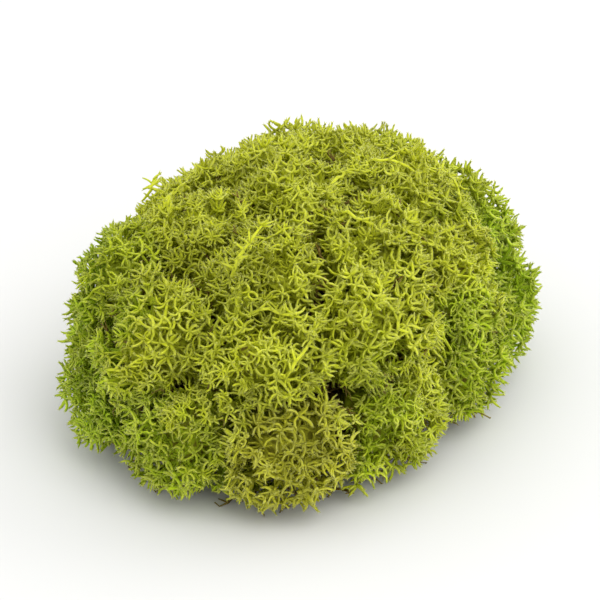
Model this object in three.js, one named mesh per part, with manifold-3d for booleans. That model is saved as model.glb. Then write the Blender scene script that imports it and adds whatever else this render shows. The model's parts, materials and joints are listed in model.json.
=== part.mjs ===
// A clump of reindeer moss, the star-tipped lichen Cladonia stellaris. It is a low cushion of rounded
// heads that stand side by side. Each head is one lichen, and its twigs fork into three-pointed stars.
// The heads grow from a mat of their own dead brown stalks, whose flat underside rests on the ground.
// Millimetres, +Z up, +X along the clump. The origin is the middle of the flat underside.
import * as THREE from 'three';
import { mergeVertices } from 'three/addons/utils/BufferGeometryUtils.js';
import Module from 'manifold-3d';

const wasm = await Module();
wasm.setup();

// The cushion's outer shape: a squarish ellipsoid, widest a little above the ground.
const clump = { length: 126, width: 98, height: 60, widestAt: 17, squareness: 2.3 };

// Heads stand in rings round the cushion. Tilt is the angle from straight up, in degrees.
const rings = [
  { name: 'crown', count: 1, tilt: 0, turn: 0 },
  { name: 'upper', count: 6, tilt: 29, turn: 20 },
  { name: 'shoulder', count: 9, tilt: 58, turn: 5 },
  { name: 'rim', count: 11, tilt: 88, turn: 14 },
];

// How far a head strays from its place: in degrees of tilt, as a share of the step in its ring, and
// in depth behind the cushion's outer shape.
const straying = { tilt: 3.5, turn: 0.125, recess: 2 };

// The clump is greener at two opposite sides, and the low heads half way between them turn brown.
// Turn is the direction of those sides from +X, in degrees. The rest are distances in it and in height.
const toning = { turn: 122, leafGreenFrom: 29, oliveUpTo: 10, oliveBelow: 20 };

// A head's sprays fan out from its foot, through a small core, and end on a flattened ball. Their
// points reach a little past the ball, so the ball is drawn in from the cushion's shape by as much.
const head = {
  depth: 16.5, halfWidth: 23.5, footDepth: 7, sizeJitter: 0.08, spraySpacing: 11.3, sprayEdge: 0.8,
  pointsPast: 2.4, directions: 600, attempts: 8,
};

// The core's reach as shares of the head's: at its top and shoulders, and at the brim above the mat.
const core = { topShare: 0.45, brimShare: 0.92, unevenness: 0.12 };

// A spray is a three-sided stalk that forks into three twigs, each of which forks into three points.
// Forks are at shares of its length, and each fork spreads its twigs by a share of that length.
const spray = {
  thickness: 3, thinning: 0.8, sunk: 2, firstFork: 0.36, secondFork: 0.68,
  spread: 0.42, pointSpread: 0.3, wander: 0.2, leastShare: 0.2,
};

// The mat of dead stalks: a mound inside the cushion, on a wider and lower pad. Both are dented, by up
// to a share of their reach. They start below the ground and are cut flat at it.
const mound = { length: 75, width: 51, height: 33, waist: 10, undercut: 11, squareness: 2.2 };
const pad = { length: 72, width: 54, height: 7, below: 1, sides: 18, levels: 3, drawnIn: 0.2 };
const dentShare = 0.04;

// Sprays lie round the pad in rings, from one share of the clump's outline to another. They stay off
// the ground. The heads' undersides and these sprays keep to either side of a flat cone.
const skirt = {
  rings: [{ count: 8, from: 0.4, to: 0.66 }, { count: 12, from: 0.54, to: 0.86 }],
  thickness: 2.6, roll: 30, unevenness: 0.03, lowest: 0.6, highest: 2.6, coneTop: 13, coneRim: 1.5,
};

const gap = 0.3; // clearance between two neighbouring pieces

const tones = {
  yellowGreen: new THREE.MeshStandardMaterial({ color: 0xa6ab3a, roughness: 0.9, metalness: 0 }),
  leafGreen: new THREE.MeshStandardMaterial({ color: 0x869428, roughness: 0.9, metalness: 0 }),
  olive: new THREE.MeshStandardMaterial({ color: 0x8a8233, roughness: 0.9, metalness: 0 }),
  deadBrown: new THREE.MeshStandardMaterial({ color: 0x5a4c26, roughness: 0.95, metalness: 0 }),
};

const up = new THREE.Vector3(0, 0, 1);
const radians = THREE.MathUtils.degToRad;

// A repeatable source of random numbers from 0 to 1.
function seededRandom(seed) {
  let state = seed;
  return () => {
    state = (state + 0x6d2b79f5) | 0;
    let t = Math.imul(state ^ (state >>> 15), 1 | state);
    t = (t + Math.imul(t ^ (t >>> 7), 61 | t)) ^ t;
    return ((t ^ (t >>> 14)) >>> 0) / 4294967296;
  };
}

// A random number up to an amount either side of zero, and a vector of three such numbers.
const stray = (random, amount) => amount * (2 * random() - 1);
const jitter = (random, amount) => new THREE.Vector3(
  stray(random, amount), stray(random, amount), stray(random, amount));

// How far a squarish ellipsoid reaches from its centre along a direction.
function reachOf(direction, radii, squareness) {
  const sum = ['x', 'y', 'z'].reduce(
    (total, k) => total + Math.abs(direction[k] / radii[k]) ** squareness, 0);
  return sum ** (-1 / squareness);
}

// The outward normal of that ellipsoid at a point given from its centre.
function normalOf(point, radii, squareness) {
  const slope = (k) => Math.sign(point[k]) * Math.abs(point[k] / radii[k]) ** (squareness - 1) / radii[k];
  return new THREE.Vector3(slope('x'), slope('y'), slope('z')).normalize();
}

// Points spread evenly over a ball of radius 1.
function ballDirections(count, turn) {
  const golden = Math.PI * (3 - Math.sqrt(5));
  return Array.from({ length: count }, (_, i) => {
    const z = 1 - (2 * i + 1) / count;
    const r = Math.sqrt(1 - z * z);
    return new THREE.Vector3(r * Math.cos(i * golden + turn), r * Math.sin(i * golden + turn), z);
  });
}

// A three.js shape with each corner shared by the faces that meet there.
function withSharedCorners(shape) {
  shape.deleteAttribute('normal');
  shape.deleteAttribute('uv');
  return mergeVertices(shape);
}

const facetedBall = (detail) => withSharedCorners(new THREE.IcosahedronGeometry(1, detail));

// A closed three.js geometry as a solid to join or cut.
function solidOf(geometry) {
  return new wasm.Manifold(new wasm.Mesh({
    numProp: 3,
    vertProperties: geometry.attributes.position.array,
    triVerts: new Uint32Array(geometry.index.array),
  }));
}

// Solids joined into one body. A hollow that the join seals is filled, and a loose scrap is dropped.
function fused(solids) {
  const shells = wasm.Manifold.union(solids).decompose();
  return shells.reduce((largest, shell) => (shell.volume() > largest.volume() ? shell : largest));
}

function geometryOf(solid) {
  const mesh = solid.getMesh();
  return new THREE.BufferGeometry()
    .setAttribute('position', new THREE.BufferAttribute(new Float32Array(mesh.vertProperties), 3))
    .setIndex(new THREE.BufferAttribute(new Uint32Array(mesh.triVerts), 1));
}

// A room is a list of planes that a piece stays behind, each a THREE.Plane facing out of the room.
const isInRoom = (room, point, margin) => room.every((plane) => plane.distanceToPoint(point) + margin <= 0);

// The share of the way from a point in the room to another that stays a margin inside the room.
function shareInRoom(room, from, to, margin) {
  return room.reduce((share, plane) => {
    const start = plane.distanceToPoint(from) + margin;
    const end = plane.distanceToPoint(to) + margin;
    return end > 0 ? Math.max(0, Math.min(share, -start / (end - start))) : share;
  }, 1);
}

// Holds a twig in a room by drawing its end back, or gives null where too little of it would be left.
const heldBack = (room) => (from, to, margin) => {
  const share = shareInRoom(room, from, to, margin);
  return share < spray.leastShare ? null : from.clone().lerp(to, share);
};

// One spray from root to end, whose twigs' ends go where hold puts them, or null where hold finds no
// place. Each ring is a triangle of points. A fork puts a crotch point on a ring's middle, and the
// three faces round it carry the next twigs.
function spraySolid(root, end, thickness, roll, hold, random) {
  const points = [];
  const faces = [];
  let fits = true;
  const add = (point) => points.push(point) - 1;
  const middleOf = (ring) => ring.reduce((sum, i) => sum.add(points[i]), new THREE.Vector3()).divideScalar(3);
  const held = (from, to, margin) => {
    const point = hold(from, to, margin);
    if (!point) fits = false;
    return point ?? to;
  };

  // A three-sided twig from a ring on to a point, with its new ring turned to match the old one.
  function grow(from, to, radius) {
    const start = middleOf(from);
    const axis = to.clone().sub(start).normalize();
    const ring = from.map((i) => {
      const arm = points[i].clone().sub(start);
      arm.addScaledVector(axis, -arm.dot(axis)).normalize();
      return add(to.clone().addScaledVector(arm, radius));
    });
    for (let i = 0; i < 3; i++) {
      const next = (i + 1) % 3;
      faces.push(from[i], from[next], ring[next], from[i], ring[next], ring[i]);
    }
    return { ring, axis };
  }
  function fork({ ring, axis }, radius) {
    const crotch = add(middleOf(ring).addScaledVector(axis, radius / 2));
    return [0, 1, 2].map((i) => [ring[i], ring[(i + 1) % 3], crotch]);
  }
  // Where the twig from a fork's face ends: on along the axis, and out past the face's outer edge.
  function aim(face, { ring, axis }, onward, outward, margin) {
    const start = middleOf(ring);
    const out = points[face[0]].clone().add(points[face[1]]).divideScalar(2).sub(start);
    out.addScaledVector(axis, -out.dot(axis)).normalize();
    const to = start.clone().addScaledVector(axis, onward).addScaledVector(out, outward)
      .add(jitter(random, spray.wander * outward));
    return held(start, to, margin);
  }

  const length = end.distanceTo(root);
  const axis = end.clone().sub(root).normalize();
  const side = new THREE.Vector3().crossVectors(axis, Math.abs(axis.z) < 0.9 ? up : new THREE.Vector3(1, 0, 0));
  side.normalize();
  const across = new THREE.Vector3().crossVectors(axis, side);
  const radius = thickness / 2;
  const foot = [0, 1, 2].map((i) => {
    const angle = roll + 2 * Math.PI * i / 3;
    return add(root.clone().addScaledVector(side, radius * Math.cos(angle))
      .addScaledVector(across, radius * Math.sin(angle)));
  });
  faces.push(foot[2], foot[1], foot[0]);
  const thin = radius * spray.thinning;
  const forkPoint = held(root, root.clone().lerp(end, spray.firstFork), radius);
  const stalk = grow(foot, forkPoint, radius);
  for (const face of fork(stalk, radius)) {
    const onward = (spray.secondFork - spray.firstFork) * length;
    const branch = grow(face, aim(face, stalk, onward, spray.spread * length, thin), thin);
    for (const tip of fork(branch, thin)) {
      const last = (1 - spray.secondFork) * length;
      const point = add(aim(tip, branch, last, spray.pointSpread * length, 0));
      faces.push(tip[0], tip[1], point, tip[1], tip[2], point, tip[2], tip[0], point);
    }
  }
  if (!fits) return null;
  return solidOf(new THREE.BufferGeometry().setFromPoints(points).setIndex(faces));
}

// A turn round the clump's oval that steps evenly along its outline.
function evenTurn(turn) {
  const length2 = clump.length ** 2;
  const width2 = clump.width ** 2;
  return turn + (length2 - width2) / (length2 + width2) / 4 * Math.sin(2 * turn);
}

function toneAt(point) {
  const greenWay = radians(toning.turn);
  const aside = Math.abs(point.x * Math.cos(greenWay) + point.y * Math.sin(greenWay));
  if (aside > toning.leafGreenFrom) return tones.leafGreen;
  return aside < toning.oliveUpTo && point.z < toning.oliveBelow ? tones.olive : tones.yellowGreen;
}

// The cushion's heads: where each one's middle is and which way it faces.
function placeHeads() {
  const random = seededRandom(49);
  const radii = { x: clump.length / 2, y: clump.width / 2, z: clump.height - clump.widestAt };
  const centre = new THREE.Vector3(0, 0, clump.widestAt);
  return rings.flatMap((ring) => Array.from({ length: ring.count }, (_, i) => {
    const tilt = radians(ring.tilt + stray(random, straying.tilt));
    const step = 2 * Math.PI / ring.count;
    const turn = evenTurn(radians(ring.turn) + step * (i + stray(random, straying.turn)));
    const direction = new THREE.Vector3(
      radii.x * Math.sin(tilt) * Math.cos(turn),
      radii.y * Math.sin(tilt) * Math.sin(turn),
      radii.z * Math.cos(tilt)).normalize();
    const outermost = direction.multiplyScalar(reachOf(direction, radii, clump.squareness));
    const facing = normalOf(outermost, radii, clump.squareness);
    const size = 1 + stray(random, head.sizeJitter);
    const inset = head.depth * size + head.pointsPast + straying.recess * random();
    const middle = centre.clone().add(outermost).addScaledVector(facing, -inset);
    return { name: `head_${ring.name}_${i + 1}`, facing, size, middle };
  }));
}

// The mound is a squarish ellipsoid about its waist, flatter below it than above.
const moundWaist = new THREE.Vector3(0, 0, mound.waist);
const moundRadii = (isAbove) => (
  { x: mound.length / 2, y: mound.width / 2, z: isAbove ? mound.height - mound.waist : mound.undercut });

// The plane that touches the mound below a head, facing down into the mound, a gap above it.
function seatPlane(one) {
  const radii = moundRadii(true);
  const inward = one.middle.clone().addScaledVector(one.facing, -head.depth).sub(moundWaist);
  inward.z = Math.max(inward.z, 0);
  inward.normalize();
  const onMound = inward.multiplyScalar(reachOf(inward, radii, mound.squareness));
  const normal = normalOf(onMound, radii, mound.squareness);
  const point = moundWaist.clone().add(onMound).addScaledVector(normal, gap);
  return new THREE.Plane().setFromNormalAndCoplanarPoint(normal.negate(), point);
}

// The flat cone between the heads and the mat's sprays: its height at a place, and the plane that
// touches it there, facing up. It falls evenly from the clump's axis to the clump's outline.
function coneHeight(x, y) {
  const outwardShare = Math.hypot(2 * x / clump.length, 2 * y / clump.width);
  return skirt.coneTop - (skirt.coneTop - skirt.coneRim) * outwardShare;
}

function conePlane(x, y) {
  const step = 0.01;
  const slope = (dx, dy) => (coneHeight(x - dx, y - dy) - coneHeight(x + dx, y + dy)) / (2 * step);
  const normal = new THREE.Vector3(slope(step, 0), slope(0, step), 1).normalize();
  return new THREE.Plane().setFromNormalAndCoplanarPoint(
    normal, new THREE.Vector3(x, y, coneHeight(x, y)));
}

// The room of a head: its own side of each neighbour, above its seat and above the cone.
function roomOf(one, heads) {
  const walls = heads.filter((other) => other !== one).map((other) => {
    const away = other.middle.clone().sub(one.middle);
    const share = one.size / (one.size + other.size) - gap / 2 / away.length();
    const point = one.middle.clone().addScaledVector(away, share);
    return new THREE.Plane().setFromNormalAndCoplanarPoint(away.normalize(), point);
  });
  return [...walls, seatPlane(one), conePlane(one.middle.x, one.middle.y).negate()];
}

// How far a head reaches from its middle along a direction: a ball flattened along its facing.
function headReach(one, direction) {
  const c = direction.dot(one.facing);
  return one.size / Math.sqrt((c / head.depth) ** 2 + (1 - c * c) / head.halfWidth ** 2);
}

// Where a head's sprays fan out from.
const footOf = (one) => one.middle.clone().addScaledVector(one.facing, -head.footDepth * one.size);

// The point on a head's flattened ball along a direction from its middle.
const onHead = (one, direction) => one.middle.clone().addScaledVector(direction, headReach(one, direction));

// A head's core: an icosahedron with one corner straight out and one straight in. Its outer corners
// are drawn in towards the head's foot, and the others make its brim and its seat on the mat.
function coreSolid(one, room, random) {
  const ball = facetedBall(0);
  const at = ball.attributes.position;
  const corner = new THREE.Vector3().fromBufferAttribute(at, 0).normalize();
  ball.applyQuaternion(new THREE.Quaternion().setFromUnitVectors(corner, one.facing));
  for (let i = 0; i < at.count; i++) {
    const direction = new THREE.Vector3().fromBufferAttribute(at, i).normalize();
    const isOuter = direction.dot(one.facing) > 0;
    const share = (isOuter ? core.topShare : core.brimShare) * (1 + stray(random, core.unevenness));
    const point = footOf(one).lerp(onHead(one, direction), share);
    point.lerpVectors(one.middle, point, shareInRoom(room, one.middle, point, 0));
    at.setXYZ(i, point.x, point.y, point.z);
  }
  return solidOf(ball);
}

// One head: its core, with sprays standing out of it wherever the head has a free face.
function headSolid(one, heads, index) {
  const random = seededRandom(1000 + 17 * index);
  const room = roomOf(one, heads);
  const solids = [coreSolid(one, room, random)];
  const foot = footOf(one);
  const ends = [];
  for (const direction of ballDirections(head.directions, index)) {
    const end = onHead(one, direction);
    const root = foot.clone().lerp(end, core.topShare - spray.sunk / end.distanceTo(foot));
    const isCrowded = ends.some((taken) => taken.distanceTo(end) < head.spraySpacing);
    if (isCrowded || !isInRoom(room, end, head.sprayEdge) || !isInRoom(room, root, spray.thickness / 2)) continue;
    for (let attempt = 0; attempt < head.attempts; attempt++) {
      const roll = 2 * Math.PI * random();
      const solid = spraySolid(root, end, spray.thickness, roll, heldBack(room), random);
      if (!solid) continue;
      solids.push(solid);
      ends.push(end);
      break;
    }
  }
  return fused(solids);
}

function moundSolid(random) {
  const ball = facetedBall(2);
  const at = ball.attributes.position;
  for (let i = 0; i < at.count; i++) {
    const direction = new THREE.Vector3().fromBufferAttribute(at, i).normalize();
    const reach = reachOf(direction, moundRadii(direction.z > 0), mound.squareness);
    const point = moundWaist.clone().addScaledVector(direction, reach * (1 - dentShare * random()));
    at.setXYZ(i, point.x, point.y, point.z);
  }
  return solidOf(ball);
}

// The pad: a low oval disc, drawn in towards its top.
function padSolid(random) {
  const disc = withSharedCorners(new THREE.CylinderGeometry(1, 1, 1, pad.sides, pad.levels).rotateX(Math.PI / 2));
  const at = disc.attributes.position;
  for (let i = 0; i < at.count; i++) {
    const level = at.getZ(i) + 0.5;
    const share = (1 - pad.drawnIn * level ** 2) * (1 - dentShare * random());
    at.setXYZ(i, at.getX(i) * share * pad.length / 2, at.getY(i) * share * pad.width / 2,
      level * (pad.height + pad.below) - pad.below);
  }
  return solidOf(disc);
}

// The dead mat: the mound on its pad, cut flat at the ground, with sprays that lie round the pad.
function matSolid() {
  const random = seededRandom(7);
  const solids = [moundSolid(random), padSolid(random)].map((solid) => solid.trimByPlane([0, 0, 1], 0));
  const lieFlat = (from, to, margin) => {
    const ceiling = coneHeight(to.x, to.y) - gap - margin;
    return to.setZ(THREE.MathUtils.clamp(to.z, skirt.lowest + margin, ceiling));
  };
  for (const ring of skirt.rings) {
    for (let i = 0; i < ring.count; i++) {
      const turn = 2 * Math.PI * (i + 0.5 * random()) / ring.count;
      const placeAt = (share) => {
        const point = new THREE.Vector3(
          clump.length / 2 * share * Math.cos(turn), clump.width / 2 * share * Math.sin(turn), 0);
        point.z = Math.min(skirt.highest, (coneHeight(point.x, point.y) + skirt.lowest) / 2);
        return point;
      };
      const end = placeAt(ring.to + stray(random, skirt.unevenness));
      solids.push(spraySolid(placeAt(ring.from), end, skirt.thickness, radians(skirt.roll), lieFlat, random));
    }
  }
  return fused(solids);
}

function meshOf(name, solid, material) {
  const mesh = new THREE.Mesh(geometryOf(solid), material);
  mesh.name = name;
  return mesh;
}

const reindeerMossClump = new THREE.Group();
reindeerMossClump.add(meshOf('dead_stalk_mat', matSolid(), tones.deadBrown));
const heads = placeHeads();
heads.forEach((one, index) => {
  reindeerMossClump.add(meshOf(one.name, headSolid(one, heads, index), toneAt(one.middle)));
});

export default reindeerMossClump;
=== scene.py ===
import json
import math

import bmesh
import bpy
import numpy as np
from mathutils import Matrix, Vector, noise


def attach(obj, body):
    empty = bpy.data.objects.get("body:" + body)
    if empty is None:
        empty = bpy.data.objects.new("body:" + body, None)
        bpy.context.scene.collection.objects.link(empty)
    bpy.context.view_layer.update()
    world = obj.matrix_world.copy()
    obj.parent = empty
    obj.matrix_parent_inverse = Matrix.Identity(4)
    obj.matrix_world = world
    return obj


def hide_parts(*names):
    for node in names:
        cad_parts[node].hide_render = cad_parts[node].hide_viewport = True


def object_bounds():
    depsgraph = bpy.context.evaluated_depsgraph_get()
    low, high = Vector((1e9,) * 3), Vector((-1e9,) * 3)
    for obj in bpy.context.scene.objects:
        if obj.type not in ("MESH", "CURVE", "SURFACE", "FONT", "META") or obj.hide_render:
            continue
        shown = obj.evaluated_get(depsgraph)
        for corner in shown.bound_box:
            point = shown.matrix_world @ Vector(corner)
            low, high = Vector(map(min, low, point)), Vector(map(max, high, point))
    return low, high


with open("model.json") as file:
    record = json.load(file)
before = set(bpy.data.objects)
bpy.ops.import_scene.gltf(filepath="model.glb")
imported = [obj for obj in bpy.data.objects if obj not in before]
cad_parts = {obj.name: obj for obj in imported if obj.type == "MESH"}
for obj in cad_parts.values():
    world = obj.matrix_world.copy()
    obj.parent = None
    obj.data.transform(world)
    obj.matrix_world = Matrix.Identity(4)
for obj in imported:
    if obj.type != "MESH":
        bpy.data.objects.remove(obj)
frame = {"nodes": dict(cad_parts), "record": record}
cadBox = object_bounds()
cadSize = cadBox[1] - cadBox[0]
mm = 0.001
print("frame loaded:", len(frame["nodes"]), "nodes")


# Node trees are written as calls that name each node's kind, what feeds its sockets and its settings.
def addNode(tree, kind, values=None, **settings):
    node = tree.nodes.new(kind)
    for name, value in settings.items():
        setattr(node, name, value)
    feed(tree, node, values or {})
    return node


def feed(tree, node, values):
    for key, value in values.items():
        connect(tree, value, node.inputs[key])


def connect(tree, value, socket):
    if isinstance(value, bpy.types.NodeSocket):
        tree.links.new(value, socket)
    else:
        socket.default_value = value


def socketOf(sockets, kind):
    # the first socket of a kind, for nodes that hold one socket for each kind under the same name
    return next(socket for socket in sockets if socket.type == kind)


def makeTree(name, kind, inputs, outputs):
    # a new tree and what its input node gives. Each socket has its kind and may have a default value.
    tree = bpy.data.node_groups.new(name, kind)
    for side, sockets in (("INPUT", inputs), ("OUTPUT", outputs)):
        for label, (holds, *default) in sockets.items():
            socket = tree.interface.new_socket(name=label, in_out=side, socket_type="NodeSocket" + holds)
            if default:
                socket.default_value = default[0]
    return tree, tree.nodes.new("NodeGroupInput").outputs


def maths(tree, operation, *values):
    node = addNode(tree, "ShaderNodeMath", dict(enumerate(values)), operation=operation)
    return node.outputs[0]


def vectorMaths(tree, operation, *values):
    node = addNode(tree, "ShaderNodeVectorMath", dict(enumerate(values)), operation=operation)
    return node.outputs["Vector"]


def scaled(tree, vector, factor):
    node = addNode(tree, "ShaderNodeVectorMath", {0: vector, "Scale": factor}, operation="SCALE")
    return node.outputs["Vector"]


# Colours run from an olive or brown root through green twigs to paler tips, greener low down and
# towards two opposite sides.
mossColours = {
    "mossYellowGreen": {
        "root": (0.33, 0.355, 0.016), "brown": (0.25, 0.190, 0.028), "twig": (0.545, 0.595, 0.028),
        "tip": (0.67, 0.71, 0.110), "side": (0.365, 0.50, 0.017),
    },
    "mossLeafGreen": {
        "root": (0.27, 0.325, 0.016), "brown": (0.21, 0.175, 0.025), "twig": (0.475, 0.56, 0.025),
        "tip": (0.60, 0.67, 0.095), "side": (0.325, 0.48, 0.017),
    },
    "mossOlive": {
        "root": (0.31, 0.295, 0.020), "brown": (0.26, 0.180, 0.036), "twig": (0.50, 0.50, 0.034),
        "tip": (0.64, 0.64, 0.120), "side": (0.385, 0.465, 0.024),
    },
    "deadStalk": {
        "root": (0.070, 0.042, 0.012), "brown": (0.050, 0.025, 0.010), "twig": (0.185, 0.115, 0.028),
        "tip": (0.30, 0.21, 0.070), "side": (0.190, 0.130, 0.032),
    },
}
slotMaterials = {
    "moss_yellow_green": "mossYellowGreen", "moss_leaf_green": "mossLeafGreen",
    "moss_olive": "mossOlive", "dead_stalk": "deadStalk",
}
mossFinish = {
    "greenTurn": 122,              # degrees from +X to the greener sides
    "greenReach": 44 * mm,
    "patchSize": 20 * mm,          # patches of one green
    "tuftSize": 9 * mm,            # painted light and shade on tufts, lighter and darker at random, and browner tufts among the old twigs
    "tipPatch": 2.5 * mm,          # some tips are paler than others
    "tangleSize": 2.3 * mm,        # mesh of the tangle of old twigs, painted as pale strokes with painted shade in the holes between them
    "grainSize": 0.4 * mm, "grainDepth": 0.06 * mm, "grainStrength": 0.35, "gloss": 0.07,
    "glow": 0.5,                   # light that passes through the thin twigs
    "glowDepth": 1.4 * mm,
    "glowReach": (1.0, 1.0, 0.3),  # for red, green and blue, as a share of its depth
}
colourPlan = {  # each ramp gives where a mask starts and where it is full
    "lowGreen": 0.62,            # how green the foot is
    "greenRamp": (0.7, 1.8),
    "patchRamp": (0.35, 0.65),
    "brownRamp": (0.48, 0.68),
    "strokeRamp": (0.04, 0.22),
    "strokeShare": 0.75,         # how far the strokes of the tangle turn green
    "paintedHoleShade": 0.6,             # painted shade in the holes between them, as a share of the old colour
    "livingRamp": (0.24, 0.60),  # ages at which a twig turns green
    "tipRamp": (0.78, 0.98),     # ages at which it pales
    "tipShare": 0.6, "clawShare": 0.25,
    "tuftRamp": (0.32, 0.68),
    "paintedTuftLightAndShade": (0.69, 1.15),   # painted shade on the darkest tufts and painted light on the lightest, as brightness
    "tuftDetail": 3.0, "grainRamp": (0.3, 0.7), "roughness": (0.74, 0.96),
}


def mossColourGroup():
    plan = colourPlan
    sizes = ("Patch Size", "Tuft Size", "Tip Patch", "Tangle Size", "Grain Size", "Green Reach")
    tree, given = makeTree("mossColour", "ShaderNodeTree", {
        **{name: ("Color",) for name in ("Root", "Brown", "Twig", "Tip", "Side")},
        **{name: ("Float", 0.01) for name in sizes}, "Green Way": ("Vector",),
    }, {"Colour": ("Color",), "Roughness": ("Float",), "Height": ("Float",)})
    place = addNode(tree, "ShaderNodeTexCoord").outputs["Object"]

    def attribute(name):
        return addNode(tree, "ShaderNodeAttribute", attribute_name=name).outputs["Fac"]

    def patches(size, detail=2.0):
        scale = maths(tree, "DIVIDE", 1.0, size)
        node = addNode(tree, "ShaderNodeTexNoise", {"Vector": place, "Scale": scale, "Detail": detail})
        return node.outputs["Fac"]

    def ramped(value, ramp, result=(0.0, 1.0)):
        node = addNode(tree, "ShaderNodeMapRange", {
            "Value": value, "From Min": ramp[0], "From Max": ramp[1],
            "To Min": result[0], "To Max": result[1]}, interpolation_type="SMOOTHSTEP")
        return node.outputs["Result"]

    def mixed(share, first, second):
        node = addNode(tree, "ShaderNodeMix", data_type="RGBA")
        connect(tree, share, socketOf(node.inputs, "VALUE"))
        colours = [socket for socket in node.inputs if socket.type == "RGBA"]
        connect(tree, first, colours[0])
        connect(tree, second, colours[1])
        return socketOf(node.outputs, "RGBA")

    def tangle(size):
        # a mask of pale curved strokes; the holes between them are left for painted shade
        scale = maths(tree, "DIVIDE", 1.0, size)
        swirl = addNode(tree, "ShaderNodeTexNoise", {"Vector": place, "Scale": scale})
        offset = scaled(tree, vectorMaths(tree, "SUBTRACT", swirl.outputs["Color"], (0.5, 0.5, 0.5)), size)
        cells = addNode(tree, "ShaderNodeTexVoronoi", {
            "Vector": vectorMaths(tree, "ADD", place, offset), "Scale": scale}, feature="DISTANCE_TO_EDGE")
        return ramped(cells.outputs["Distance"], plan["strokeRamp"], (1.0, 0.0))

    age = attribute("twigAge")
    across = addNode(tree, "ShaderNodeVectorMath", {
        0: place, 1: given["Green Way"]}, operation="DOT_PRODUCT").outputs["Value"]
    sideShare = maths(tree, "DIVIDE", maths(tree, "ABSOLUTE", across), given["Green Reach"])
    height = addNode(tree, "ShaderNodeSeparateXYZ", {"Vector": place}).outputs["Z"]
    fallOff = maths(tree, "DIVIDE", height, given["Green Reach"])
    lowShare = maths(tree, "SUBTRACT", plan["lowGreen"], fallOff)
    patch = ramped(patches(given["Patch Size"]), plan["patchRamp"])
    green = maths(tree, "ADD", maths(tree, "ADD", sideShare, lowShare), patch)
    twig = mixed(ramped(green, plan["greenRamp"]), given["Twig"], given["Side"])
    old = mixed(ramped(patches(given["Tuft Size"]), plan["brownRamp"]), given["Root"], given["Brown"])
    strokes = maths(tree, "MULTIPLY", tangle(given["Tangle Size"]), plan["strokeShare"])
    # between the strokes the old colour is darkened: painted shade in the holes of the tangle
    root = mixed(strokes, scaled(tree, old, plan["paintedHoleShade"]), twig)
    living = mixed(ramped(age, plan["livingRamp"]), root, twig)
    paleTips = ramped(patches(given["Tip Patch"]), plan["patchRamp"])
    tipMask = maths(tree, "MULTIPLY", ramped(age, plan["tipRamp"]), paleTips)
    pale = mixed(maths(tree, "MULTIPLY", tipMask, plan["tipShare"]), living, given["Tip"])
    ended = mixed(maths(tree, "MULTIPLY", attribute("clawReach"), plan["clawShare"]), pale, given["Tip"])
    # painted light and shade: the whole colour is made lighter or darker tuft by tuft
    shade = ramped(patches(given["Tuft Size"], plan["tuftDetail"]), plan["tuftRamp"], plan["paintedTuftLightAndShade"])
    grain = patches(given["Grain Size"])
    roughness = ramped(grain, plan["grainRamp"], plan["roughness"])
    addNode(tree, "NodeGroupOutput", {
        "Colour": scaled(tree, ended, shade), "Roughness": roughness, "Height": grain})
    return tree


def mossMaterial(name, colours, group):
    plan = mossFinish
    material = bpy.data.materials.new(name)
    material.use_nodes = True
    tree = material.node_tree
    turn = math.radians(plan["greenTurn"])
    placed = addNode(tree, "ShaderNodeGroup", {
        **{key.title(): (*colour, 1.0) for key, colour in colours.items()},
        "Patch Size": plan["patchSize"], "Tuft Size": plan["tuftSize"], "Tip Patch": plan["tipPatch"],
        "Tangle Size": plan["tangleSize"], "Grain Size": plan["grainSize"],
        "Green Reach": plan["greenReach"], "Green Way": (math.cos(turn), math.sin(turn), 0),
    }, node_tree=group)
    bump = addNode(tree, "ShaderNodeBump", {
        "Strength": plan["grainStrength"], "Distance": plan["grainDepth"],
        "Height": placed.outputs["Height"]})
    feed(tree, tree.nodes["Principled BSDF"], {
        "Base Color": placed.outputs["Colour"], "Roughness": placed.outputs["Roughness"],
        "Normal": bump.outputs["Normal"], "Specular IOR Level": plan["gloss"],
        "Subsurface Weight": plan["glow"], "Subsurface Radius": plan["glowReach"],
        "Subsurface Scale": plan["glowDepth"]})
    return material


colourGroup = mossColourGroup()
materials = {name: mossMaterial(name, colours, colourGroup) for name, colours in mossColours.items()}
slotOfNode = {part["node"]: part["material_slot"] for part in frame["record"]["subparts"]}
print("materials made:", len(materials))


def unit(vectors):
    return vectors / np.maximum(np.linalg.norm(vectors, axis=-1, keepdims=True), 1e-9)


def triangleCount(mesh):
    return sum(len(face.vertices) - 2 for face in mesh.polygons)


def addObject(name, data):
    added = bpy.data.objects.new(name, data)
    bpy.context.scene.collection.objects.link(added)
    return added


def shapeCollection(name, meshes):
    # a collection outside the scene, whose shapes only the node trees place
    group = bpy.data.collections.new(name)
    for mesh in meshes:
        group.objects.link(bpy.data.objects.new(mesh.name, mesh))
    return group


# A claw is the end of a twig: a few points that part from one place. A spur is a single point on its
# side. Each point is a closed cone.
clawPlan = {
    "points": (2, 2, 3, 3),  # one claw shape for each number
    "length": 0.95 * mm,
    "lengths": (0.7, 1.15),  # shortest and longest point, as a share of it
    "width": 0.26, "sunk": 0.12,
    "lean": (0.35, 0.85),    # radians
    "stray": 0.18, "seed": 3,
}
spurPlan = {"length": 1 * mm, "width": 0.20, "sunk": 0.1}
coneSides = 3
coneFaces = ((0, 2, 1), (0, 1, 3), (1, 2, 3), (2, 0, 3))  # the last corner is the tip


def coneInto(verts, faces, along, width, sunk, length):
    side = along.orthogonal().normalized()
    across = along.cross(side)
    first = len(verts)
    for corner in range(coneSides):
        angle = 2 * math.pi * corner / coneSides
        verts.append(width * (math.cos(angle) * side + math.sin(angle) * across) - sunk * along)
    verts.append(along * length)
    faces += [[first + k for k in face] for face in coneFaces]


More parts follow.
